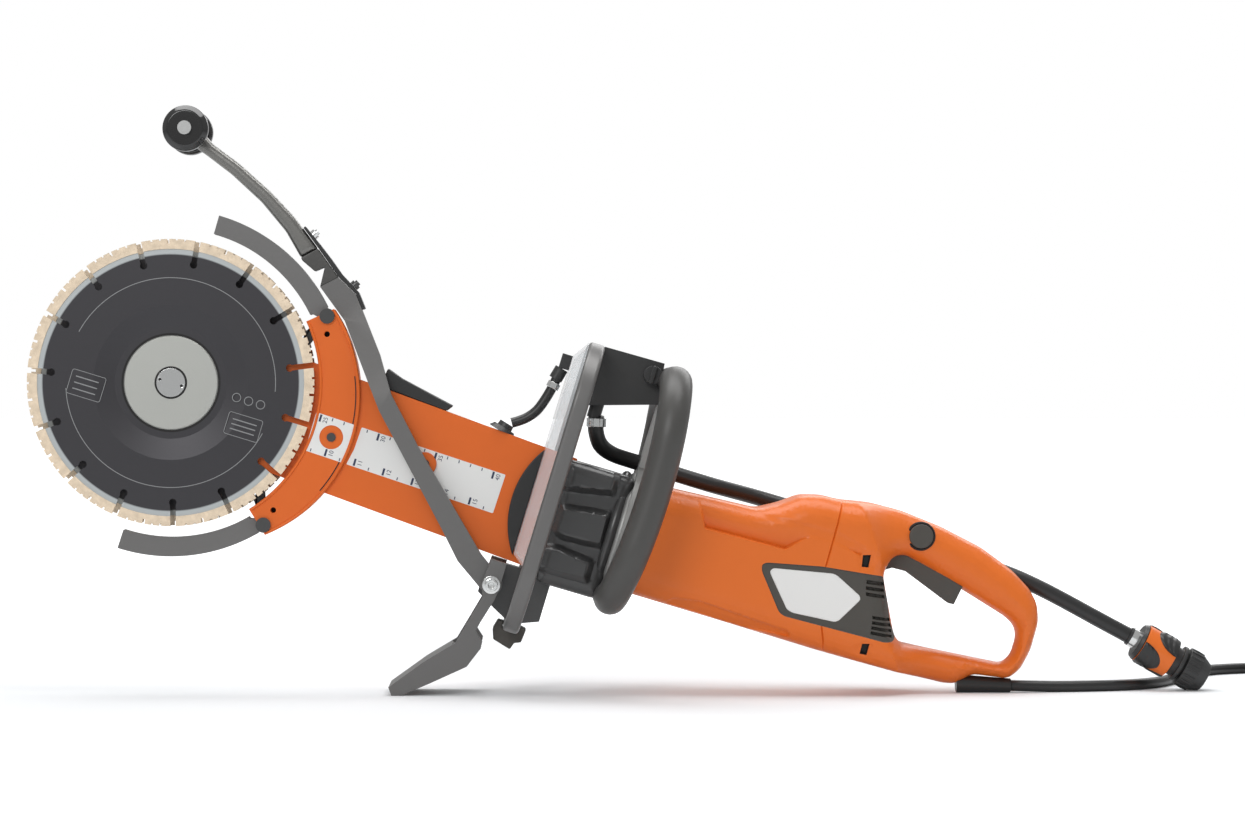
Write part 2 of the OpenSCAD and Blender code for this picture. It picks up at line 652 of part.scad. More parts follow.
module all_along(v0, v1) translate([0, 0, v0]) linear_extrude(v1 - v0) children();
module plan_outline(inset) offset(delta = -inset) polygon(concat(body_plan,
    [for (i = [len(body_plan) - 1 : -1 : 0]) [body_plan[i][0], -body_plan[i][1]]]));
module vent_panels() color("#45423d") tool() intersection() {
    side(-60, 60) polygon(panel_side);
    all_along(-40, 30) difference() {
        plan_outline(-0.6);
        plan_outline(2);
    }
}
module panel_space() intersection() {
    side(-60, 60) polygon(panel_side);
    all_along(-40, 30) difference() {
        plan_outline(-3);
        plan_outline(2);
    }
}
module motor_housing() color("#d4662b") tool() difference() {
    intersection() {
        side(-body_half, body_half) polygon(housing_side);
        cross(380, 560) offset(r = 20, $fn = 32) translate([-24, -33]) square([48, 80]);
    }
    rod_u(41, bracket_u[1] - 1, 535, motor_v);
    rod_u(12, 534, 541, motor_v);
    loop(tube_r);
    panel_space();
}
module shell_side(inset) offset(delta = -inset) difference() {
    polygon(handle_side);
    polygon(window_side);
}
module boot() translate([boot_x[0], 0, boot_r[0]])
    rotate([0, 90 + atan((boot_r[0] - boot_r[1]) / (boot_x[1] - boot_x[0])), 0])
        cylinder(r1 = boot_r[0], r2 = boot_r[1], h = boot_x[1] - boot_x[0]);
module handle_shell() {
    difference() {
        tool() difference() {
            intersection() {
                side(-body_half, 0) shell_side(0);
                all_along(-100, 100) plan_outline(0);
            }
            intersection() {
                side(-body_half + 3, 1) shell_side(3.5);
                all_along(-100, 100) plan_outline(3);
            }
            panel_space();
            side(-10, 10) offset(delta = 0.5) hull() {
                polygon(trigger_side);
                translate(trigger_pin) rotate(trigger_travel) translate(-trigger_pin)
                    polygon(trigger_side);
            }
        }
        boot();
    }
    tool() disc(trigger_pin_r, -18, 0, trigger_pin);
}
module handle_shell_left() color("#d4662b") difference() {
    handle_shell();
    tool() disc(button_r + FINE, -60, -10, button_at);
}
module handle_shell_right() color("#d4662b") mirror([0, 1, 0]) handle_shell();
module trigger() color("#3f3e3a") tool() side(-9, 9) difference() {
    polygon(trigger_side);
    translate(trigger_pin) circle(trigger_pin_r + FINE);
}
module lock_button() color("#45443f") tool() disc(button_r, -22.5, -12.5, button_at);
module strain_relief() color("#262626") difference() {
    boot();
    translate([0, -50, -20]) cube([boot_x[0] + 1, 100, 60]);
}

// ---------- cord, plug and hose ----------

module power_cord() color("#2a2a2a") {
    tube(smooth(cord_route, 2), cord_r, 10, [0, 0, 1]);
    tube(smooth(tail_route, 2), cord_r, 10, [0, 0, 1]);
}
module cord_coil() color("#2a2a2a") translate([coil_at[0], coil_at[1], 0]) rotate_extrude()
    translate([coil_r - 2 * cord_r, 0]) square([4 * cord_r, 4 * cord_r]);
module mains_plug() color("#2c2c2c") translate([plug_at[0], plug_at[1], 17]) rotate([0, 90, 0]) {
    cylinder(r1 = 7, r2 = 17, h = 12);
    translate([0, 0, 12]) cylinder(r = 17, h = 24);
    for (s = [1, -1]) translate([0, s * 9.5, 36]) cylinder(r = 2.4, h = 19);
}
module water_hose() color("#2c2c2c") tool() tube(smooth(hose_route_tool, 2), hose_r, 10, [0, 1, 0]);
module at_coupling() translate(coupling_at) rotate([0, 90 + coupling_slope, 0]) children();
module coupling_body() color("#2b2b2b") at_coupling() {
    translate([0, 0, -12]) cylinder(r = 7.5, h = 8);
    translate([0, 0, -4]) cylinder(r1 = 14, r2 = 15.8, h = 3.6);
    translate([0, 0, -1]) cylinder(r = 12, h = 39);
    translate([0, 0, 33]) cylinder(r = 15, h = 3);
}
module coupling_sleeve() color("#d4662b") at_coupling() difference() {
    translate([0, 0, 0]) cylinder(r = 15.8, h = 27.5);
    translate([0, 0, -1]) cylinder(r = 12 + FINE, h = 30);
}
module coupling_nut() color("#232323") at_coupling() difference() {
    union() {
        translate([0, 0, 38]) cylinder(r = 15.8, h = 11.5);
        translate([0, 0, 49.5]) cylinder(r1 = 15.8, r2 = 11.3, h = 9.2);
    }
    translate([0, 0, 42]) cylinder(r = 8, h = 30);
}

blade_left();
blade_right();
diamond_segments();
blade_flanges();
centre_bolts();
arbor_shaft();
driven_pulley();
bearings();
drive_belt();
drive_pulley();
crown_gear();
motor_shaft();
rotor_core();
cooling_fan();
stator();
arm_plate_left();
arm_plate_right();
arm_spacer();
arm_fasteners();
blade_guard();
water_nozzles();
arm_deflector();
splash_flap_upper();
splash_flap_lower();
shield_rim();
shield_lens();
shield_gasket();
shield_clip();
guide_arm();
guide_knuckle();
guide_strap();
strap_screw();
guide_tip();
tip_fasteners();
rollers();
leg_bracket();
pivot_bolt();
support_leg();
gearbox_housing();
handle_bracket();
front_handle();
bridge_box();
tap_knob();
hose_fittings();
hose_clamps();
arm_hose();
motor_housing();
handle_shell_left();
handle_shell_right();
vent_panels();
trigger();
lock_button();
strain_relief();
power_cord();
cord_coil();
mains_plug();
water_hose();
coupling_body();
coupling_sleeve();
coupling_nut();
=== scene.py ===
"""The looks of the power cutter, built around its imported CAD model.

Lengths in this file are millimetres. The tool is drawn in its own frame, as in the CAD: u along the
housing from the blade shaft towards the rear handle, y sideways (the left side is negative), v across
the housing and upwards. world() turns that into metres in the row frame.
"""
import json
import math

import bmesh
import bpy
import numpy as np
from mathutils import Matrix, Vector
from mathutils.geometry import delaunay_2d_cdt

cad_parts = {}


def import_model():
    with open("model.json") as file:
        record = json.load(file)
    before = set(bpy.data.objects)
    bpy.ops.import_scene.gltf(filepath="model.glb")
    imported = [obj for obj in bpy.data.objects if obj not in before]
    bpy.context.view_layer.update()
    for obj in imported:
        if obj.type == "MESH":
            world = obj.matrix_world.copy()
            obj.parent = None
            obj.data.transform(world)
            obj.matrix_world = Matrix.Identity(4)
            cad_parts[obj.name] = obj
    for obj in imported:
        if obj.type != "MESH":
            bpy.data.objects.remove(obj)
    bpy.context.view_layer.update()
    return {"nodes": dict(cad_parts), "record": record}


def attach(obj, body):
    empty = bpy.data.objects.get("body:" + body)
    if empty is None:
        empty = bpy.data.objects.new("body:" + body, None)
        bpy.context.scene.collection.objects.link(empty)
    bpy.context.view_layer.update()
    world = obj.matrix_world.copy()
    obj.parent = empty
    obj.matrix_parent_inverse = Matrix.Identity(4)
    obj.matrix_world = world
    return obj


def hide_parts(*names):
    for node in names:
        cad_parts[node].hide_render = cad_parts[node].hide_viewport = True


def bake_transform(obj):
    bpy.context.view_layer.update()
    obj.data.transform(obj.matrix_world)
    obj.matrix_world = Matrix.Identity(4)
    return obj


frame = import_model()
RECORD = frame["record"]
BODY = {node: body for body, nodes in RECORD["behaviour"]["bodies"].items() for node in nodes}
SLOT = {row["node"]: row["material_slot"] for row in RECORD["subparts"]}

TILT = math.radians(17)
SHAFT = (-289.0, 249.0)  # x and z of the blade shaft
GUARD_Y, ARM_Y = 11.4, 8.6  # outer faces of the guard and of the arm, from the middle plane
# The same for the blade's rim and hub, the flange and the bolt's cap
RIM_Y, HUB_Y, FLANGE_Y, CAP_Y = 12.2, 9.4, 10.7, 11.8
MOTOR_V = -12  # height of the motor's axis
CORD_R = 4.5


def world(u, y, v):
    """Tool frame to row frame; takes numbers or arrays."""
    x = SHAFT[0] + u * math.cos(TILT) + v * math.sin(TILT)
    z = SHAFT[1] - u * math.sin(TILT) + v * math.cos(TILT)
    return np.stack([x, y + 0 * x, z], axis=-1) / 1000


def linear(hex_colour):
    """A colour such as D4662B as linear red, green, blue."""
    parts = [int(hex_colour[i:i + 2], 16) / 255 for i in (0, 2, 4)]
    return [c / 12.92 if c <= 0.04045 else ((c + 0.055) / 1.055) ** 2.4 for c in parts]


# ---------------------------------------------------------------- camera

camera = bpy.data.objects.new("camera", bpy.data.cameras.new("camera"))
bpy.context.scene.collection.objects.link(camera)
camera.location = (-0.009, -2.8, 0.235)
camera.rotation_euler = (math.radians(90), 0, 0)
camera.data.lens = 100.7
camera.data.sensor_width = 36
camera.data.shift_x = 0.082
camera.data.shift_y = -0.012
camera.data.clip_end = 50
bpy.context.scene.camera = camera

# ---------------------------------------------------------------- materials


def mix_colours(nodes, links, factor, dark, light):
    mix = nodes.new("ShaderNodeMix")
    mix.data_type = "RGBA"
    mix.inputs["A"].default_value = (*dark, 1)
    mix.inputs["B"].default_value = (*light, 1)
    links.new(factor, mix.inputs["Factor"])
    return mix.outputs["Result"]


def material(name, colour, rough, metal=0.0, coat=0.0, grain=0.0, grain_size=400, mottle=0.0,
             mottle_size=60, alpha=1.0, specular=0.5):
    """A principled material with an optional fine bump (grain) and uneven colour (mottle)."""
    mat = bpy.data.materials.new(name)
    mat.use_nodes = True
    nodes, links = mat.node_tree.nodes, mat.node_tree.links
    shader = nodes["Principled BSDF"]
    base = linear(colour)
    shader.inputs["Base Color"].default_value = (*base, 1)
    shader.inputs["Roughness"].default_value = rough
    shader.inputs["Metallic"].default_value = metal
    shader.inputs["Coat Weight"].default_value = coat
    shader.inputs["Coat Roughness"].default_value = 0.12
    shader.inputs["Alpha"].default_value = alpha
    shader.inputs["Specular IOR Level"].default_value = specular
    place = nodes.new("ShaderNodeTexCoord").outputs["Object"]

    def noise(scale, detail):
        texture = nodes.new("ShaderNodeTexNoise")
        texture.inputs["Scale"].default_value = scale
        texture.inputs["Detail"].default_value = detail
        links.new(place, texture.inputs["Vector"])
        return texture.outputs["Fac"]

    if grain:
        bump = nodes.new("ShaderNodeBump")
        bump.inputs["Strength"].default_value = grain
        bump.inputs["Distance"].default_value = 0.0004
        links.new(noise(grain_size, 3), bump.inputs["Height"])
        links.new(bump.outputs["Normal"], shader.inputs["Normal"])
    if mottle:
        spread = mix_colours(nodes, links, noise(mottle_size, 4),
                             [c * (1 - mottle) for c in base], [c * (1 + mottle) for c in base])
        links.new(spread, shader.inputs["Base Color"])
    return mat


LACQUER, BARE_STEEL, LACQUER_R = "3F3E41", "B5BABB", 102.8


def blade_material():
    """Dark lacquered steel with a bare rim, told apart by the distance from the shaft."""
    mat = material("core_steel", LACQUER, 0.36, metal=0.55)
    nodes, links = mat.node_tree.nodes, mat.node_tree.links
    shader = nodes["Principled BSDF"]
    place = nodes.new("ShaderNodeTexCoord")
    offset = nodes.new("ShaderNodeVectorMath")
    offset.operation = "SUBTRACT"
    offset.inputs[1].default_value = (SHAFT[0] / 1000, 0, SHAFT[1] / 1000)
    flat = nodes.new("ShaderNodeVectorMath")
    flat.operation = "MULTIPLY"
    flat.inputs[1].default_value = (1, 0, 1)
    size = nodes.new("ShaderNodeVectorMath")
    size.operation = "LENGTH"
    step = nodes.new("ShaderNodeMapRange")
    step.inputs["From Min"].default_value = (LACQUER_R - 0.6) / 1000
    step.inputs["From Max"].default_value = (LACQUER_R + 0.6) / 1000
    links.new(place.outputs["Object"], offset.inputs[0])
    links.new(offset.outputs[0], flat.inputs[0])
    links.new(flat.outputs[0], size.inputs[0])
    links.new(size.outputs["Value"], step.inputs["Value"])
    colour = mix_colours(nodes, links, step.outputs["Result"], linear(LACQUER), linear(BARE_STEEL))
    links.new(colour, shader.inputs["Base Color"])
    return mat


MATERIALS = {
    "core_steel": blade_material(),
    "segment": material("segment", "E2CFB6", 0.9, grain=1.0, grain_size=600, mottle=0.3,
                        mottle_size=160),
    "flange": material("flange", "AFB0AB", 0.42, metal=0.6, grain=0.15, grain_size=900),
    "bright_steel": material("bright_steel", "DADBDA", 0.18, metal=1.0),
    "machined_steel": material("machined_steel", "6A6B6C", 0.35, metal=0.9),
    "belt": material("belt", "262626", 0.7),
    "copper": material("copper", "A5683C", 0.35, metal=0.8),
    "laminate": material("laminate", "8B8A86", 0.45, metal=0.7),
    "orange_paint": material("orange_paint", "DA6622", 0.42, coat=0.06, specular=0.3, grain=0.12,
                             grain_size=1100, mottle=0.05, mottle_size=9),
    "orange_plastic": material("orange_plastic", "DC6C24", 0.36, coat=0.1, specular=0.3, grain=0.05,
                               grain_size=900, mottle=0.04, mottle_size=7),
    "grey_cast": material("grey_cast", "6A6968", 0.38, metal=0.35, grain=0.10, grain_size=800),
    "bare_cast": material("bare_cast", "7A7976", 0.3, metal=0.7, grain=0.08, grain_size=800),
    "black_cast": material("black_cast", "434343", 0.30, metal=0.2, coat=0.2, grain=0.15,
                           grain_size=600),
    "light_cast": material("light_cast", "9C9C9A", 0.45, metal=0.6, grain=0.2, grain_size=700),
    "black_plastic": material("black_plastic", "2B2B2B", 0.42, grain=0.15, grain_size=900),
    "dark_panel": material("dark_panel", "45423D", 0.55, grain=0.25, grain_size=1200),
    "grey_rubber": material("grey_rubber", "686766", 0.42, grain=0.12, grain_size=700),
    "grip_rubber": material("grip_rubber", "444341", 0.42, grain=0.15, grain_size=900),
    "black_rubber": material("black_rubber", "232323", 0.36, grain=0.08, grain_size=500),
    "roller": material("roller", "161616", 0.14, coat=0.5),
    "clear_lens": material("clear_lens", "E4E9EC", 0.06, alpha=0.28, specular=0.9),
    "label": material("label", "E2E2E0", 0.4),
    "ink": material("ink", "2A3350", 0.6),
    "etching": material("etching", "8A8B8C", 0.5, metal=0.4),
    "shadow_gap": material("shadow_gap", "141312", 0.7),
}

# Blackened fasteners look darker than the steel that they are made of
DARKER = {"arm_fasteners": "black_cast", "strap_screw": "black_cast"}
for node, obj in frame["nodes"].items():
    for place in obj.material_slots:
        place.material = MATERIALS[DARKER.get(node, SLOT[node])]

# ---------------------------------------------------------------- meshes


def add_mesh(name, points, faces, body, look, slot=None, replaces=(), weighted=True):
    """A smooth-shaded mesh object that rides on a body; points are metres in the row frame."""
    mesh = bpy.data.meshes.new(name)
    mesh.from_pydata([tuple(map(float, p)) for p in points], [], [list(map(int, f)) for f in faces])
    mesh.validate()
    mesh.shade_smooth()
    mesh.set_sharp_from_angle(angle=math.radians(40))
    mesh.materials.append(MATERIALS[look])
    obj = bpy.data.objects.new(name, mesh)
    bpy.context.scene.collection.objects.link(obj)
    if weighted:
        normals = obj.modifiers.new("normals", "WEIGHTED_NORMAL")
        normals.keep_sharp = True
    if body:
        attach(obj, body)
    if replaces:
        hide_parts(*replaces)
    return obj


def polished(node, width, segments, rides=True):
    """A copy of a CAD node with its edges over 30 degrees rounded, which stands for it."""
    work = bmesh.new()
    work.from_mesh(frame["nodes"][node].data)
    bmesh.ops.remove_doubles(work, verts=work.verts, dist=2e-5)
    bmesh.ops.dissolve_limit(work, angle_limit=math.radians(1), verts=work.verts, edges=work.edges)
    edges = [e for e in work.edges
             if len(e.link_faces) == 2 and e.calc_face_angle(0) > math.radians(30)]
    bmesh.ops.bevel(work, geom=edges, offset=width / 1000, segments=segments, profile=0.5,
                    affect="EDGES", clamp_overlap=True)
    bmesh.ops.remove_doubles(work, verts=work.verts, dist=1e-5)
    bmesh.ops.triangulate(work, faces=work.faces)
    points = [v.co.copy() for v in work.verts]
    faces = [[v.index for v in f.verts] for f in work.faces]
    work.free()
    return add_mesh(node + ".look", points, faces, BODY[node] if rides else None, SLOT[node],
                    replaces=[node])


def resample(points, step, closed=True):
    """The same line with points no further apart than step."""
    pts = np.asarray(points, float)
    ends = np.roll(pts, -1, axis=0) if closed else pts[1:]
    out = []
    for a, b in zip(pts, ends):
        count = max(1, math.ceil(math.dist(a, b) / step))
        out.extend(a + (b - a) * k / count for k in range(count))
    if not closed:
        out.append(pts[-1])
    return np.array(out)


def rounded(points, cut):
    """The polygon with rounded corners, which start `cut` before each corner."""
    pts = np.asarray(points, float)
    out = []
    for before, at, after in zip(np.roll(pts, 1, 0), pts, np.roll(pts, -1, 0)):
        a = at + (before - at) * min(cut / math.dist(before, at), 0.45)
        b = at + (after - at) * min(cut / math.dist(after, at), 0.45)
        out.extend((1 - t) ** 2 * a + 2 * t * (1 - t) * at + t * t * b for t in np.linspace(0, 1, 7))
    return np.array(out)


def distance(p, line, closed=True):
    """Distance of the points p from the line, negative inside a closed one."""
    starts = line if closed else line[:-1]
    ends = np.roll(line, -1, 0) if closed else line[1:]
    best = np.full(len(p), np.inf)
    inside = np.zeros(len(p), bool)
    for (ax, ay), (bx, by) in zip(starts, ends):
        ex, ey = bx - ax, by - ay
        px, py = p[:, 0] - ax, p[:, 1] - ay
        t = np.clip((px * ex + py * ey) / (ex * ex + ey * ey + 1e-12), 0, 1)
        best = np.minimum(best, (px - t * ex) ** 2 + (py - t * ey) ** 2)
        if closed and ay != by:
            inside ^= ((ay > p[:, 1]) != (by > p[:, 1])) & (px < ex * py / ey)
    return np.where(inside, -np.sqrt(best), np.sqrt(best)) if closed else np.sqrt(best)


def shifted(line, by, closed=True):
    """The points of the line moved sideways."""
    if closed:
        along = np.roll(line, -1, 0) - np.roll(line, 1, 0)
    else:
        along = np.gradient(line, axis=0)
    along = along / (np.linalg.norm(along, axis=1, keepdims=True) + 1e-9)
    return line + by * np.stack([along[:, 1], -along[:, 0]], axis=1)


def smoothstep(t):
    t = np.clip(t, 0, 1)
    return t * t * (3 - 2 * t)


def joined(parts):
    """Several (points, faces) parts as one."""
    points, faces, base = [], [], 0
    for pts, polys in parts:
        points.append(np.asarray(pts, float))
        faces += [[base + i for i in f] for f in polys]
        base += len(pts)
    return np.concatenate(points), faces


# ---------------------------------------------------------------- reliefs

BORDER_PITCH, STEP_PITCH, REGION_PITCH, GROOVE_PITCH = 1.7, 2.0, 2.5, 1.5


def bonded(lines):
    """All points of some closed lines, and the index pairs that join each line up."""
    bonds, fixed = [], 0
    for line in lines:
        bonds += [(fixed + i, fixed + (i + 1) % len(line)) for i in range(len(line))]
        fixed += len(line)
    return np.concatenate(lines), bonds


def triangulated(points, bonds):
    """Flat points and triangles that keep every bond as an edge."""
    points = [Vector(p) for p in points.tolist()]
    flat, _, faces, *_ = delaunay_2d_cdt(points, bonds, [], 0, 1e-3)
    return np.array([tuple(p) for p in flat]), np.array([tuple(f) for f in faces])


def depth_inside(p, borders):
    """How far the points p lie inside the first border and outside the others."""
    deep = -distance(p, borders[0])
    for hole in borders[1:]:
        deep = np.minimum(deep, distance(p, hole))
    return deep


def relief_points(borders, steps, grooves, grid, rings, largest):
    """Loose points for a relief: rings along its borders, lines along its steps, and a grid."""
    loose = []
    for border in borders:
        for k in range(1, rings + 1):
            off = largest * (1 - math.cos(k * math.pi / 2 / rings))
            for way in (1, -1):
                ring = shifted(resample(border, BORDER_PITCH + 0.25 * k), way * off)
                loose.append(ring[depth_inside(ring, borders) > off - 0.15])
    for polygon, _, slope in steps:
        line = resample(polygon, STEP_PITCH)
        for way in (1, -1):
            ring = shifted(line, way * slope)
            loose.append(ring[np.abs(distance(ring, line)) > slope - 0.1])
    for line, width, _ in grooves:
        line = resample(line, GROOVE_PITCH, closed=False)
        loose += [shifted(line, way * width, closed=False) for way in (1, 0, -1)]
    low, high = borders[0].min(0), borders[0].max(0)
    mesh_u, mesh_v = np.meshgrid(np.arange(low[0], high[0], grid), np.arange(low[1], high[1], grid))
    loose.append(np.stack([mesh_u.ravel(), mesh_v.ravel()], 1))
    loose = np.concatenate(loose)
    return loose[depth_inside(loose, borders) > 0.3]


def relief_height(flat, borders, half, radius, steps, grooves):
    """The half width at each flat point, with its steps, grooves and rounded edges."""
    u, v = flat[:, 0], flat[:, 1]
    height = half(u, v)
    for polygon, depth, slope in steps:
        deep = depth(u, v) if callable(depth) else depth
        height = height - deep * smoothstep(-distance(flat, polygon) / slope)
    for line, width, deep in grooves:
        away = distance(flat, np.asarray(line, float), False)
        height = height - deep * np.clip(1 - away / width, 0, 1)
    edge = np.minimum(radius(u, v), np.maximum(height - 0.5, 0.5))
    near = np.clip(edge - np.maximum(depth_inside(flat, borders), 0), 0, None)
    return np.maximum(height - edge + np.sqrt(np.maximum(edge ** 2 - near ** 2, 0)), 0.3)


def cut_out(faces, sides, flat, height):
    """Some faces of a relief as (points, faces), with walls where the whole relief ends."""
    used = np.unique(faces)
    where = {old: new for new, old in enumerate(used)}
    pts = [(flat[i, 0], -height[i], flat[i, 1]) for i in used]
    polys = [[where[i] for i in f] for f in faces]
    feet = {}
    for f in faces:
        for a, b in ((f[0], f[1]), (f[1], f[2]), (f[2], f[0])):
            if (b, a) in sides:
                continue
            for i in (a, b):
                if i not in feet:
                    feet[i] = len(pts)
                    pts.append((flat[i, 0], 0.0, flat[i, 1]))
            polys.append([where[b], where[a], feet[a], feet[b]])
    return pts, polys


def relief(outline, holes, half, radius, steps=(), grooves=(), regions=(), default="", grid=4.0,
           rings=6, largest=20):
    """A pillow over the side outline, as {region: (points, faces)} for the left side.

    half(u, v) is its half width and radius(u, v) how far its edges are rounded. A step is
    (polygon, depth, slope) with depth a number or a function; a groove is (line, half width, depth);
    a region is (name, polygon), and faces outside them all belong to the default one.
    """
    borders = [resample(b, BORDER_PITCH) for b in (outline, *holes)]
    drawn, bonds = bonded(borders + [resample(polygon, STEP_PITCH) for polygon, _, _ in steps]
                          + [resample(polygon, REGION_PITCH) for _, polygon in regions])
    loose = relief_points(borders, steps, grooves, grid, rings, largest)
    flat, faces = triangulated(np.concatenate([drawn, loose]), bonds)
    faces = faces[depth_inside(flat[faces].mean(axis=1), borders) > 0]
    height = relief_height(flat, borders, half, radius, steps, grooves)

    middle = flat[faces].mean(axis=1)
    nobody = len(regions)
    owner = np.full(len(faces), nobody)
    for index, (_, polygon) in enumerate(regions):
        owner[(owner == nobody) & (distance(middle, polygon) < 0)] = index
    sides = {(f[i], f[(i + 1) % 3]) for f in faces for i in range(3)}
    out = {}
    for index, name in enumerate([name for name, _ in regions] + [default]):
        mine = faces[owner == index]
        if len(mine):
            out.setdefault(name, []).append(cut_out(mine, sides, flat, height))
    return {name: joined(parts) for name, parts in out.items()}


def everywhere(value):
    """A width or radius that is the same everywhere."""
    return lambda u, v: value + 0 * u


def to_world(points, side=1):
    """Points of the tool frame in the row frame, mirrored to the right side if side is -1."""
    pts = np.array(points, float)
    return world(pts[:, 0], pts[:, 1] * side, pts[:, 2])


def both(part):
    """The left part and its mirror image as one mesh."""
    pts, faces = part
    count = len(pts)
    points = np.concatenate([to_world(pts), to_world(pts, -1)])
    return points, faces + [[count + i for i in reversed(f)] for f in faces]


def mirrored(part):
    """The mirror image of the left part."""
    return to_world(part[0], -1), [list(reversed(f)) for f in part[1]]


# ---------------------------------------------------------------- swept tubes


def smooth_line(points, steps):
    """A smooth curve through the points, with some steps from each to the next."""
    p = np.asarray(points, float)
    count = len(p)
    out = []
    for i in range(count - 1):
        a, b, c, d = p[max(i - 1, 0)], p[i], p[i + 1], p[min(i + 2, count - 1)]
        for t in np.arange(steps) / steps:
            out.append(0.5 * (2 * b + (c - a) * t + (2 * a - 5 * b + 4 * c - d) * t * t
                              + (3 * b - a - 3 * c + d) * t ** 3))
    out.append(p[-1])
    return np.array(out)


def sweep(path, radii, sides=20, closed=False, up=(0, 1, 0)):
    """Points and faces of a tube along the path; points stay in the path's own units."""
    path = np.asarray(path, float)
    count = len(path)
    radii = np.broadcast_to(radii, (count,))
    if closed:
        along = np.roll(path, -1, 0) - np.roll(path, 1, 0)
    else:
        along = np.gradient(path, axis=0)
    along /= np.linalg.norm(along, axis=1, keepdims=True)
    first = np.cross(np.asarray(up, float), along)
    first /= np.linalg.norm(first, axis=1, keepdims=True)
    second = np.cross(along, first)
    turn = np.linspace(0, 2 * math.pi, sides, endpoint=False)
    ring = (np.cos(turn)[None, :, None] * first[:, None]
            + np.sin(turn)[None, :, None] * second[:, None])
    pts = (path[:, None] + ring * radii[:, None, None]).reshape(-1, 3)
    faces = []
    for i in range(count if closed else count - 1):
        j = (i + 1) % count
        for k in range(sides):
            m = (k + 1) % sides
            faces.append([i * sides + k, i * sides + m, j * sides + m, j * sides + k])
    if not closed:
        faces.append(list(range(sides))[::-1])
        faces.append([(count - 1) * sides + k for k in range(sides)])
    return pts, faces


def add_parts(name, parts, body, look, **more):
    """One mesh from several (points, faces) parts in the tool frame."""
    points, faces = joined(parts)
    return add_mesh(name, to_world(points), faces, body, look, **more)


def cord_curve(name, points, radius, body, look, replaces):
    """A free cord as a curve of one open spline; points are metres in the row frame."""
    curve = bpy.data.curves.new(name, "CURVE")
    curve.dimensions = "3D"
    curve.bevel_depth = radius / 1000
    curve.bevel_resolution = 4
    curve.use_fill_caps = True
    spline = curve.splines.new("POLY")
    spline.points.add(len(points) - 1)
    for place, p in zip(spline.points, points):
        place.co = (*map(float, p), 1)
    spline.use_smooth = True
    curve.materials.append(MATERIALS[look])
    obj = bpy.data.objects.new(name, curve)
    bpy.context.scene.collection.objects.link(obj)
    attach(obj, body)
    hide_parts(*replaces)
    return obj


# ---------------------------------------------------------------- cords and hoses

CORD_ROUTE = [
    (385, 0, 5.6), (400, 1, 5.1), (420, 3, 4.6), (445, 7, 4.5), (470, 14, 4.5), (492, 26, 4.5),
    (510, 44, 4.5), (524, 68, 4.5), (536, 96, 4.5), (548, 126, 4.5), (563, 154, 4.5),
    (584, 178, 4.5), (612, 194, 4.5), (644, 202, 4.5), (678, 204.5, 4.5)]
TAIL_ROUTE = [(678, 204.5, 13.5), (694, 204.5, 13.8), (710, 204.5, 15), (728, 204.5, 17)]
COIL_AT, COIL_WIDE, COIL_SLIM = (678, 150), 54.5, 45.5
HOSE_ROUTE = [
    (334, 0, 74), (337, 3, 63), (344, 9, 53), (355, 17, 48.6), (370, 23, 47.8), (390, 27, 48),
    (415, 30, 47.8), (440, 35, 47.8), (460, 43, 48.3), (478, 50, 48.8), (500, 52.5, 49),
    (530, 53, 49), (560, 53, 49), (585, 50, 49), (610, 42, 49.2), (640, 34, 49.6), (668, 28, 50),
    (695, 24, 49), (720, 22, 45.7), (745, 21, 41), (770, 20, 35.8), (798, 20, 30.2)]
ARM_HOSE_ROUTE = [(294.5, 0, 93), (293, 0, 84), (290.5, 0, 74), (287, 0, 64.5), (281.5, 0, 57),
                  (275.5, 0, 52), (270.5, 0, 48.8)]


def coil_line():
    """Four turns: outer and inner on the floor, then inner and outer on top of them."""
    low, high = CORD_R, 3 * CORD_R
    stations = [(COIL_WIDE, low), (COIL_SLIM, low), (COIL_SLIM, high), (COIL_WIDE, high)]
    out = []
    for turn, (radius, z) in enumerate(stations):
        after = stations[min(turn + 1, 3)]
        for k in range(30):
            blend = smoothstep((k / 30 - 0.8) / 0.2)
            r = radius + (after[0] - radius) * blend
            h = z + (after[1] - z) * blend
            a = math.radians(90 - 12 * k)
            out.append((COIL_AT[0] + r * math.cos(a), COIL_AT[1] + r * math.sin(a), h))
    return out[1:]


cord_points = np.concatenate([smooth_line(CORD_ROUTE, 4), coil_line(),
                              smooth_line(TAIL_ROUTE, 4)]) / 1000
power_cord = cord_curve("power_cord.look", cord_points, CORD_R, "saw_body", "black_rubber",
                        ["power_cord", "cord_coil"])


def coil_tie(angle):
    """A hook-and-loop band round the turns of the coil."""
    inner, outer, top = COIL_SLIM - CORD_R - 0.8, COIL_WIDE + CORD_R + 0.8, 4 * CORD_R + 0.9
    section = rounded([(inner, 0.1), (outer, 0.1), (outer, top), (inner, top)], 4)
    out = np.array((math.cos(angle), math.sin(angle)))
    along = np.array((-out[1], out[0]))
    pts, count = [], len(section)
    for reach in (-6, 6):
        for r, z in section:
            pts.append((*(COIL_AT + out * r + along * reach), z))
    faces = [[i, (i + 1) % count, count + (i + 1) % count, count + i] for i in range(count)]
    return np.array(pts) / 1000, faces


tie_points, tie_faces = joined([coil_tie(math.radians(a)) for a in (-150, 0)])
cord_tie = add_mesh("cord_tie", tie_points, tie_faces, "saw_body", "black_plastic",
                    slot="black_rubber")

hose_points = to_world(smooth_line(HOSE_ROUTE, 4))
water_hose = cord_curve("water_hose.look", hose_points, 6.5, "saw_body", "black_rubber",
                        ["water_hose"])

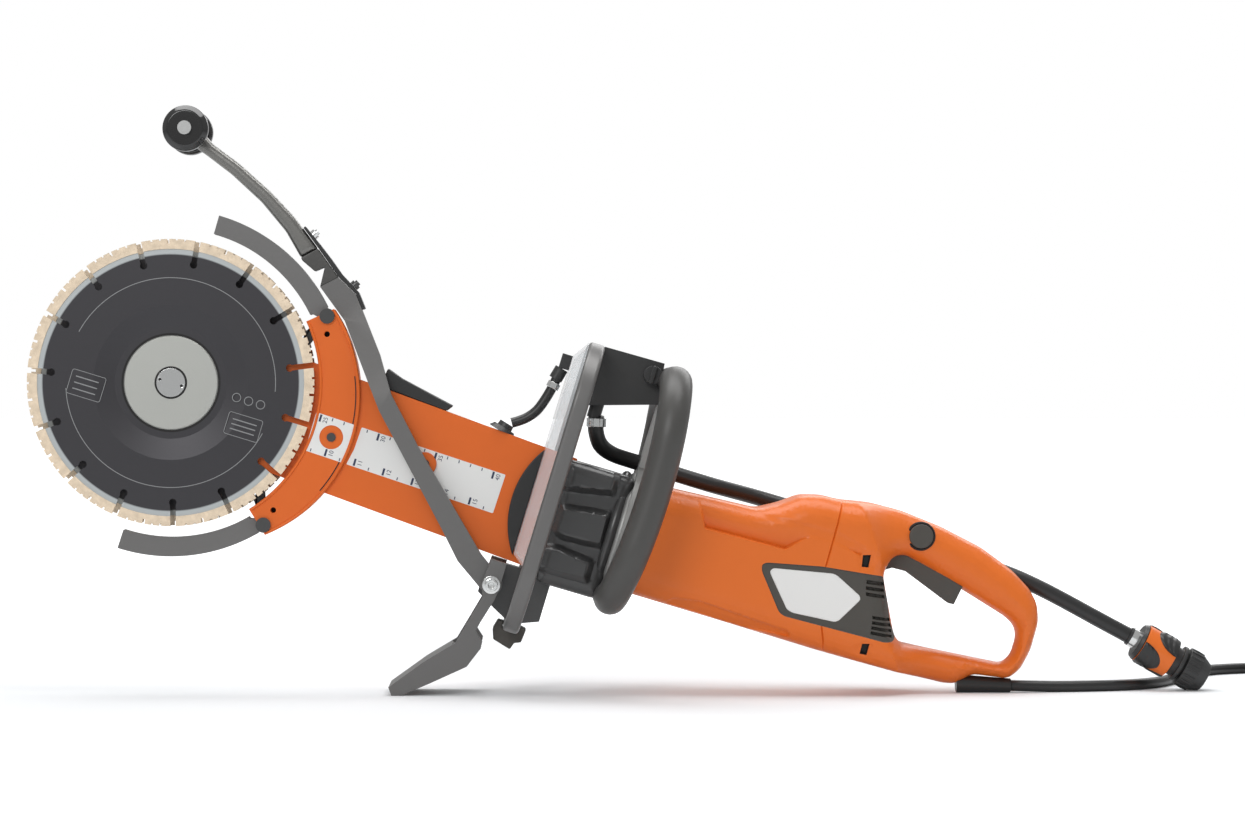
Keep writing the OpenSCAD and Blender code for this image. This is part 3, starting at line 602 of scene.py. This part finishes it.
arm_hose_points = to_world(smooth_line(ARM_HOSE_ROUTE, 4))
arm_hose = cord_curve("arm_hose.look", arm_hose_points, 4, "saw_body", "black_rubber",
                      ["arm_hose"])

# ---------------------------------------------------------------- housing and rear handle

BODY_OUTLINE = rounded([
    (384, -51), (400, -53.5), (470, -53), (556, -53), (628, -51), (663, -49.6), (673, -47), (683, -36),
    (712, -31), (719, -21), (722.5, -3.6), (722, 20), (717, 33), (708, 42.5), (690, 53), (660, 63.5),
    (624, 70), (590, 73), (565, 72), (541, 67), (526, 66.3), (509, 61.5), (495, 50.5), (478.5, 41),
    (405, 36), (384, 35)], 5)
WINDOW = rounded([(588.5, 20), (591, 30), (594, 36), (602, 40), (654, 27), (695.5, 15.9), (704, 11),
                  (708, 3), (708, -12), (702.5, -20.6), (619, -28.5), (612, -24)], 5)
CREASE = np.array([(548, 75), (552, 69.1), (558.7, 63.9), (569.3, 49.1), (588.1, 21.1), (594, 0),
                   (604, -24), (612, -36), (628, -60)], float)
PANEL = rounded([(492.6, -0.2), (495.8, 2.6), (538.9, 12.4), (588.5, 19), (593, 9), (597, 3.5),
                 (604.5, -14.4), (612.5, -24), (610.7, -28.5), (603.8, -31), (590.5, -31.4),
                 (521.6, -34.1), (516.6, -32.3), (494.3, -5.3)], 2.5)
PLATE = rounded([(500.4, -3), (502.2, -0.2), (548.8, 9.5), (552.3, 9), (574.1, -1.2), (575.5, -4.2),
                 (563.9, -25), (561, -26.8), (527, -29.6), (522.1, -28.4), (501.6, -5.4)], 2)
SEAM_TOP = np.array([(540, 72), (540.4, 60), (541.1, 38.3), (541.6, 13.5)], float)
SEAM_LOW = np.array([(552.4, -33.8), (558, -46), (562, -58)], float)
HANDLE_SIDE = np.concatenate([SEAM_TOP, [(546, -10)], SEAM_LOW, [(740, -70), (740, 90), (540, 90)]])
UPPER_RECESS = rounded([(428.2, 36.5), (441.2, 13.8), (507.2, 16.6), (513.2, 23), (522.3, 31.7),
                        (541.5, 33), (566, 29), (568.9, 37), (543.3, 42.3), (517, 41), (490.1, 39.8)],
                       1.5)
LOWER_RECESS = rounded([(428.2, -52), (432.8, -45.7), (454.6, -41.5), (528.9, -44), (531.6, -49),
                        (500, -52)], 2)
LATCHES = [[(567.2, 30.4), (573.2, 32.4), (574.2, 22.2), (568.8, 21.2)],
           [(587, -37), (592.6, -35.2), (593.2, -44.6), (587.6, -45.2)]]
LATCH_POCKETS = [rounded([(553, 33), (575.8, 36), (580, 22), (567.5, 16.5), (563.5, 28)], 2),
                 rounded([(575, -47.2), (586, -34), (597, -33.6), (597, -48.2)], 2)]
VENTS = [[(575.6, 12.6), (590.6, 14.6), (591.3, 11.4), (576.3, 9.4)],
         [(576.6, 7.6), (591.8, 9.6), (592.6, 6.8), (577.2, 4.8)],
         [(577.8, 3), (593.4, 5), (594.6, 2), (579, 0.2)],
         [(588.2, -13.4), (603.6, -11.4), (604.6, -14), (589, -16)],
         [(589.4, -17.4), (605.2, -15.4), (606.3, -18.2), (589.8, -20)],
         [(590, -21.4), (607, -19.5), (608.2, -22.4), (590.4, -24)],
         [(590.6, -25.4), (609, -23.6), (609, -26.4), (591, -28)]]


def handle_drop(u, v):
    """How far along the way from the wide body to the slim handle a point is, 0 to 1."""
    p = np.stack([u, v], 1)
    wide = np.concatenate([CREASE, [(628, -90), (300, -90), (300, 100), (548, 100)]])
    t = np.clip(distance(p, wide) / 34, 0, 1)
    return t * (2 - t)


def body_half(u, v):
    slim = 20 - 3.5 * smoothstep((u - 600) / 60)
    return 44 + (slim - 44) * handle_drop(u, v)


def body_radius(u, v):
    front = np.clip(4 + (u - 384), 4, 20)
    return np.where(u > 560, 20 - 4 * smoothstep((u - 560) / 30), front)


body_parts = relief(
    BODY_OUTLINE, [WINDOW], body_half, body_radius,
    steps=[(UPPER_RECESS, lambda u, v: 0.5 + 6.0 * np.clip((33 - v) / 18, 0, 1), 1.3),
           (LOWER_RECESS, 2.6, 1.4), (PANEL, 0.9, 0.8), (PLATE, -0.6, 0.6)]
    + [(pocket, 1.6, 4.0) for pocket in LATCH_POCKETS]
    + [(np.array(slot, float), 3.0, 0.8) for slot in LATCHES]
    + [(np.array(vent, float), 4.5, 0.9) for vent in VENTS],
    grooves=[(SEAM_TOP, 0.8, 1.4), (SEAM_LOW, 0.8, 1.4)],
    regions=[("gap", np.array(slot, float)) for slot in LATCHES]
    + [("plate", PLATE), ("panel", PANEL), ("shell", HANDLE_SIDE)],
    default="housing")
add_mesh("motor_housing.look", *both(body_parts["housing"]), "saw_body", "orange_plastic",
         replaces=["motor_housing"])
add_mesh("handle_shell_left.look", to_world(body_parts["shell"][0]), body_parts["shell"][1],
         "saw_body", "orange_plastic", replaces=["handle_shell_left"])
add_mesh("handle_shell_right.look", *mirrored(body_parts["shell"]), "saw_body", "orange_plastic",
         replaces=["handle_shell_right"])
add_mesh("vent_panels.look", *both(body_parts["panel"]), "saw_body", "dark_panel",
         replaces=["vent_panels"])
add_mesh("name_plates", *both(body_parts["plate"]), "saw_body", "label", slot="light_cast")
add_mesh("latch_slots", *both(body_parts["gap"]), "saw_body", "shadow_gap", slot="black_plastic")

# ---------------------------------------------------------------- gearbox

GEAR_OUTLINE = rounded([(322, -58), (327, -66), (374, -65.5), (378, -60), (378, 33), (374, 35.5),
                        (322, 35)], 4)
GEAR_PADS = [
    rounded([(316, 40), (363.5, 40), (366, 33), (366.4, 17), (323.5, 8.5), (316, 8)], 4),
    rounded([(325.5, -1.4), (330, 1), (369, 6.4), (370.6, -26.6), (335, -28.6), (325, -25)], 5),
    rounded([(316, -35.5), (334, -31.5), (366, -35), (366.4, -56), (316, -58)], 4)]
gear = relief(GEAR_OUTLINE, [], everywhere(39.5), everywhere(9),
              steps=[(pad, -7.0, 5.5) for pad in GEAR_PADS], default="gear", grid=2.5, largest=9)
add_mesh("gearbox_housing.look", *both(gear["gear"]), "saw_body", "black_cast",
         replaces=["gearbox_housing"])


def hoop(u, half_y, half_v, thick):
    """A ring across the tool, round the motor's axis."""
    path = [(u, half_y * math.cos(a), MOTOR_V + half_v * math.sin(a))
            for a in np.linspace(0, 2 * math.pi, 60, endpoint=False)]
    return sweep(path, thick, 12, closed=True, up=(1, 0, 0))


add_parts("gearbox_ring", [hoop(371.5, 45, 47, 4.2)], "saw_body", "black_cast")
add_parts("flange_lip", [hoop(378, 46.5, 48.5, 3.4)], "saw_body", "light_cast")

# ---------------------------------------------------------------- tip of the guide arm

TIP_OUTLINE = rounded([
    (-52, 204), (-44, 205), (-23.4, 192.6), (1, 184), (30.4, 170.5), (55.8, 156), (80.8, 137.3),
    (69.8, 126.4), (52.2, 142.9), (26.9, 159.6), (-2.8, 174), (-27, 183), (-50, 190), (-55, 196)], 2)
TIP_HALF, TIP_EDGE = 6.5, 4.4
tip = relief(TIP_OUTLINE, [], everywhere(TIP_HALF), everywhere(TIP_EDGE), default="tip", grid=3,
             rings=5, largest=5)
add_mesh("guide_tip.look", *both(tip["tip"]), "guide_tip", "bare_cast", slot="grey_cast",
         replaces=["guide_tip"])

# ---------------------------------------------------------------- front handle


LOOP_HALF, LOOP_LOW, LOOP_HIGH, LOOP_CORNER = 98.5, -60.5, 117.5, 45.0
LOOP_U, LOOP_BOW, TUBE_R = 392.5, 7.5, 12.9


def front_loop():
    """The line of the front handle: a rounded rectangle that bows towards the rear."""
    centre, half_height = (LOOP_LOW + LOOP_HIGH) / 2, (LOOP_HIGH - LOOP_LOW) / 2
    out = []
    for quarter, (sy, sv) in enumerate(((1, 1), (-1, 1), (-1, -1), (1, -1))):
        cy = sy * (LOOP_HALF - LOOP_CORNER)
        cv = centre + sv * (half_height - LOOP_CORNER)
        for k in range(13):
            a = math.radians(90 * quarter + 7.5 * k)
            out.append((cy + LOOP_CORNER * math.cos(a), cv + LOOP_CORNER * math.sin(a)))
    line = resample(out, 6)
    bow = LOOP_U - LOOP_BOW * ((line[:, 1] - centre) / half_height) ** 2
    return np.stack([bow, line[:, 0], line[:, 1]], 1)


add_parts("front_handle.look", [sweep(front_loop(), TUBE_R, 24, closed=True, up=(1, 0, 0))],
          "saw_body", "grip_rubber", replaces=["front_handle"])

# ---------------------------------------------------------------- flat marks


def on_side(line, y):
    """A side-view line in the tool frame."""
    return [(p[0], y, p[1]) for p in line]


def ribbon(line, width, y, closed=False):
    """A flat strip along a side-view line, facing left."""
    line = np.asarray(line, float)
    a = shifted(line, -width / 2, closed)
    b = shifted(line, width / 2, closed)
    count = len(line)
    pts = on_side(a, y) + on_side(b, y)
    faces = [[count + i, count + (i + 1) % count, (i + 1) % count, i]
             for i in range(count if closed else count - 1)]
    return np.array(pts), faces


def lettering(text, size, at, y, turn):
    """Flat text on the side view as points and faces in the tool frame."""
    curve = bpy.data.curves.new("text", "FONT")
    curve.body, curve.size, curve.align_x, curve.align_y = text, size, "CENTER", "CENTER"
    obj = bpy.data.objects.new("text", curve)
    bpy.context.scene.collection.objects.link(obj)
    mesh = bpy.data.meshes.new_from_object(
        obj.evaluated_get(bpy.context.evaluated_depsgraph_get()))
    c, s = math.cos(math.radians(turn)), math.sin(math.radians(turn))
    pts = np.array([(at[0] + c * v.co.x - s * v.co.y, y, at[1] + s * v.co.x + c * v.co.y)
                    for v in mesh.vertices])
    faces = [list(p.vertices) for p in mesh.polygons]
    bpy.data.objects.remove(obj)
    return pts, faces


def slab(outline, holes, y0, y1):
    """A thin flat plate on the side view between y0 and y1, seen from the left."""
    rings = [resample(r, 3) for r in (outline, *holes)]
    flat, faces = triangulated(*bonded(rings))
    faces = faces[depth_inside(flat[faces].mean(axis=1), rings) > 0].tolist()
    sides = {(f[i], f[(i + 1) % 3]) for f in faces for i in range(3)}
    count = len(flat)
    walls = [[b, a, count + a, count + b] for a, b in sides if (b, a) not in sides]
    return np.array(on_side(flat, y1) + on_side(flat, y0)), faces + walls


def circle(at, r, count=40):
    return np.array([(at[0] + r * math.cos(a), at[1] + r * math.sin(a))
                     for a in np.linspace(0, 2 * math.pi, count, endpoint=False)])


def arc(at, r, start, end, count=60):
    return np.array([(at[0] + r * math.cos(a), at[1] + r * math.sin(a))
                     for a in np.radians(np.linspace(start, end, count))])


MARK_LIFT = 0.06  # how far flat marks lie off the face under them

# ---------------------------------------------------------------- scale on the arm

LABEL = np.array([(118.5, -20.4), (277.3, -24.8), (278, 7.7), (118.5, 11.5)])
FRONT_LABEL = rounded([(118.6, -20.5), (149.6, -21.3), (152.6, -8), (152.8, 10.6), (118.5, 11.5)], 1)
REAR_LABEL = rounded([(153.4, -21.5), (277.3, -24.8), (278, 7.7), (156.6, 10.4), (156, -8)], 1)
LABEL_GAP = 150.5, 157.5  # no marks between these, where the two parts meet
FRONT_LABEL_Y, REAR_LABEL_Y = -(GUARD_Y + 0.25), -(ARM_Y + 0.25)
FRONT_BOSS, REAR_BOSS = (135.7, -4.3), (213.6, -2.8)


def label_edge(t, top):
    """A point on the label's long edge, t from 0 at the blades to 1."""
    a, b = (LABEL[3], LABEL[2]) if top else (LABEL[0], LABEL[1])
    return a + (b - a) * t


def scale_row(top, count, pitch, every, first, number, rise):
    """Marks along a long edge of the label, with rising numbers at the major ones."""
    out, inward = [], -1 if top else 1
    for k in range(count):
        start = label_edge(0.028 + k * pitch, top)
        if LABEL_GAP[0] < start[0] < LABEL_GAP[1]:
            continue
        y = (FRONT_LABEL_Y if start[0] < LABEL_GAP[0] else REAR_LABEL_Y) - MARK_LIFT
        major = k % every == first
        end = start + np.array([0, inward * (6.4 if major else 3.0)])
        start = start + np.array([0, inward * 0.6])
        out.append(ribbon([start, end], 1.7 if major else 0.8, y))
        at = start + np.array([4.4, inward * 3.4])
        if major and not 148 < at[0] < 160:
            out.append(lettering(str(number + k // every * rise), 5.0, at, y, 90))
    return out


add_parts("scale_label", [slab(FRONT_LABEL, [circle(FRONT_BOSS, 9.6)], -GUARD_Y, FRONT_LABEL_Y),
                          slab(REAR_LABEL, [circle(REAR_BOSS, 9.4)], -ARM_Y, REAR_LABEL_Y)],
          "saw_body", "label", slot="light_cast", weighted=False)
add_parts("scale_marks", scale_row(True, 16, 0.0608, 5, 0, 25, 5)
          + scale_row(False, 13, 0.0765, 2, 1, 10, 1),
          "saw_body", "ink", slot="black_plastic", weighted=False)

# ---------------------------------------------------------------- guard

GUARD_CENTRE, GUARD_HOLE = (31.7, 0), (108.3, 73.7)
# centre, radius, degrees to either side, tube radius
HEMS = ((GUARD_CENTRE, 120.2, 50.5, 1.3), ((0, 0), 120.3, 40.6, 1.2))

add_parts("guard_hems", [sweep(on_side(arc(at, r, -reach, reach), y), thick, 10)
                         for y in (-GUARD_Y, GUARD_Y) for at, r, reach, thick in HEMS],
          "saw_body", "orange_paint")
add_parts("guard_seam", [ribbon(arc(GUARD_CENTRE, 117.9, -24, 24), 0.9, -GUARD_Y - MARK_LIFT)],
          "saw_body", "shadow_gap", slot="black_plastic", weighted=False)
# Painted shade: dark discs between the guard's sides that make its two holes look dark
add_parts("guard_hole_shades", [slab(circle((GUARD_HOLE[0], side * GUARD_HOLE[1]), 2.2, 16), [], 3, -3)
                          for side in (1, -1)],
          "saw_body", "shadow_gap", slot="black_plastic", weighted=False)

# ---------------------------------------------------------------- marks on the blade


def blade_marks():
    """Two arcs, two boxes with three lines each, and three small circles."""
    y = -RIM_Y - 0.05
    out = [ribbon(arc((0, 0), 84, start, end, 90), 0.6, y) for start, end in ((12, 168), (200, 348))]
    for low, high in (((-78, -32), (-50, -12)), ((52, -26), (80, -8))):
        box = [low, (high[0], low[1]), high, (low[0], high[1])]
        out.append(ribbon(resample(rounded(box, 2), 3), 0.5, y, closed=True))
    for left, right, top, drop in ((-74, -55, -17, 5), (56, 76, -13, 4)):
        for row in range(3):
            out.append(ribbon([(left, top - row * drop), (right, top - row * drop)], 0.9, y))
    return out + [ribbon(circle((u, 4), 3.4, 20), 0.6, y, closed=True) for u in (54, 64, 74)]


add_parts("blade_marks", blade_marks(), "blade_set", "etching", slot="flange", weighted=False)
add_parts("flange_rings", [ribbon(circle((0, 0), 12.3, 48), 1.6, -FLANGE_Y - MARK_LIFT, closed=True),
                           ribbon(circle((0, 0), 38.9, 72), 1.6, -HUB_Y - MARK_LIFT, closed=True)]
          + [slab(circle((u, 0), 1.1, 16), [], -CAP_Y, -CAP_Y - 0.08) for u in (9, -9)],
          "blade_set", "shadow_gap", slot="flange", weighted=False)

# ---------------------------------------------------------------- painted shade round the lock button

BUTTON_AT, SHADE_RING_R = (609.6, 58), 10.4
# Painted shade: a dark ring that stands for the shadow in the gap round the lock button
shade_ring_line = on_side(circle(BUTTON_AT, SHADE_RING_R, 36), -18.6)
add_parts("button_shade_ring", [sweep(shade_ring_line, 1.3, 8, closed=True)], "saw_body", "shadow_gap",
          slot="black_plastic")

# ---------------------------------------------------------------- coupling

COUPLING_AT, SLOPE = np.array((493.7, 20, 38.6)), math.radians(29.2)


def coupling_point(along, angle, r):
    """A point round the coupling's axis, angle 0 towards the viewer and 90 upwards."""
    axis = np.array((math.cos(SLOPE), 0, -math.sin(SLOPE)))
    up = np.array((math.sin(SLOPE), 0, math.cos(SLOPE)))
    a = math.radians(angle)
    return COUPLING_AT + axis * along + r * (math.cos(a) * np.array((0, -1, 0)) + math.sin(a) * up)


def grip_pad(angle, from_end):
    """A ribbed half-oval rubber pad on the sleeve, at its far end or at its near end."""
    rows, cols, pts, faces = 15, 21, [], []
    for i in range(rows):
        s = i / (rows - 1)
        for j in range(cols):
            t = 2 * j / (cols - 1) - 1
            reach = 19 * math.sqrt(max(1 - t * t, 0.02))
            along = 27.3 - s * reach if from_end else 0.2 + s * reach
            rib = 0.5 * (math.cos(s * 22) > 0)
            lift = 16.6 + rib - (0.9 if i in (0, rows - 1) or j in (0, cols - 1) else 0)
            pts.append(coupling_point(along, angle + 48 * t, lift))
    for i in range(rows - 1):
        for j in range(cols - 1):
            a = i * cols + j
            faces.append([a, a + 1, a + cols + 1, a + cols])
    return np.array(pts), faces


def on_coupling(name, parts, body, look):
    """A mesh on the coupling; its points are millimetres in the row frame."""
    points, faces = joined(parts)
    return add_mesh(name, points / 1000, faces, body, look)


sleeve_pads = on_coupling("sleeve_pads", [grip_pad(58, True), grip_pad(-40, False),
                                          grip_pad(238, True), grip_pad(140, False)],
                          "sleeve", "black_rubber")
clamp_line = [coupling_point(along, 0, 0) for along in np.linspace(-10, -1, 4)]
coupling_clamp = on_coupling("coupling_clamp", [sweep(clamp_line, 7.9, 24)], "saw_body",
                             "bright_steel")
nut_ribs = [sweep([coupling_point(along, angle, r)
                   for along, r in ((38.6, 15.6), (44, 15.9), (49.3, 15.6))], 1.0, 8)
            for angle in range(0, 360, 20)]
nut_grip = on_coupling("nut_grip", nut_ribs, "saw_body", "black_plastic")

# ---------------------------------------------------------------- polished CAD parts

ROUNDED_EDGES = (  # node, width, segments
        ("arm_plate_left", 0.8, 2), ("arm_plate_right", 0.8, 2), ("blade_guard", 0.7, 2),
        ("water_nozzles", 0.6, 2), ("arm_deflector", 1.6, 3), ("splash_flap_upper", 1.6, 3),
        ("splash_flap_lower", 1.6, 3), ("shield_rim", 3.0, 4), ("shield_clip", 1.0, 2),
        ("guide_arm", 2.2, 2), ("leg_bracket", 1.2, 2),
        ("support_leg", 1.4, 3), ("handle_bracket", 1.2, 2), ("bridge_box", 2.4, 3),
        ("hose_fittings", 0.7, 2), ("hose_clamps", 0.3, 1), ("trigger", 1.6, 3),
        ("lock_button", 0.9, 2), ("tap_knob", 0.7, 2), ("centre_bolts", 0.4, 2),
        ("shield_gasket", 2.0, 3), ("pivot_bolt", 0.4, 2), ("blade_flanges", 0.3, 1),
        ("rollers", 0.8, 3), ("strain_relief", 0.6, 2), ("coupling_sleeve", 0.8, 2),
        ("coupling_body", 0.6, 2), ("coupling_nut", 0.8, 2))
for node, width, segments in ROUNDED_EDGES:
    frame["nodes"][node + ".look"] = polished(node, width, segments)
for node, width in (("guide_knuckle", 1.0), ("guide_strap", 0.6)):
    piece = polished(node, width, 2, rides=False)
    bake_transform(piece)

# ---------------------------------------------------------------- floor and light


def backdrop():
    """A large pale floor that glows to the camera, more so further out, and so ends in white."""
    reach = 40.0
    mesh = bpy.data.meshes.new("floor")
    mesh.from_pydata([(-reach, -reach, 0), (reach, -reach, 0), (reach, reach, 0),
                      (-reach, reach, 0)], [], [(0, 1, 2, 3)])
    pale = material("floor", "E6E8EA", 0.9, specular=0.1)
    nodes, links = pale.node_tree.nodes, pale.node_tree.links
    glow = nodes["Principled BSDF"]
    glow.inputs["Emission Color"].default_value = (1, 1, 1, 1)
    away = nodes.new("ShaderNodeVectorMath")
    away.operation = "LENGTH"
    links.new(nodes.new("ShaderNodeTexCoord").outputs["Object"], away.inputs[0])
    level = nodes.new("ShaderNodeMapRange")
    level.interpolation_type = "SMOOTHSTEP"
    for name, value in (("From Min", 0.5), ("From Max", 1.5), ("To Min", 0.04), ("To Max", 0.85)):
        level.inputs[name].default_value = value
    links.new(away.outputs["Value"], level.inputs["Value"])
    seen = nodes.new("ShaderNodeLightPath")
    lift = nodes.new("ShaderNodeMath")
    lift.operation = "MULTIPLY"
    links.new(level.outputs["Result"], lift.inputs[1])
    links.new(seen.outputs["Is Camera Ray"], lift.inputs[0])
    links.new(lift.outputs["Value"], glow.inputs["Emission Strength"])
    mesh.materials.append(pale)
    obj = bpy.data.objects.new("floor", mesh)
    bpy.context.scene.collection.objects.link(obj)


def studio_world(strength):
    """White to the camera, and an even soft light of the given strength."""
    studio = bpy.data.worlds.new("studio")
    studio.use_nodes = True
    nodes, links = studio.node_tree.nodes, studio.node_tree.links
    background = nodes["Background"]
    background.inputs["Color"].default_value = (1, 1, 1, 1)
    seen = nodes.new("ShaderNodeLightPath")
    level = nodes.new("ShaderNodeMapRange")
    level.inputs["To Min"].default_value = strength
    level.inputs["To Max"].default_value = 1.0
    links.new(seen.outputs["Is Camera Ray"], level.inputs["Value"])
    links.new(level.outputs["Result"], background.inputs["Strength"])
    bpy.context.scene.world = studio


def area_light(name, at, target, size, power):
    data = bpy.data.lights.new(name, "AREA")
    data.shape = "RECTANGLE"
    data.size, data.size_y = size
    data.energy = power
    obj = bpy.data.objects.new(name, data)
    obj.location = at
    obj.rotation_euler = (Vector(target) - Vector(at)).to_track_quat("-Z", "Y").to_euler()
    bpy.context.scene.collection.objects.link(obj)


backdrop()
area_light("overhead", (0.1, 0.1, 1.9), (0.05, 0, 0.2), (2.4, 1.0), 31)
area_light("front", (-0.9, -2.4, 1.5), (0, 0, 0.2), (1.4, 1.0), 24)
area_light("back", (0.8, 1.6, 1.2), (0.1, 0, 0.2), (1.6, 0.8), 10)
studio_world(0.48)
bpy.context.scene.view_settings.view_transform = "Standard"
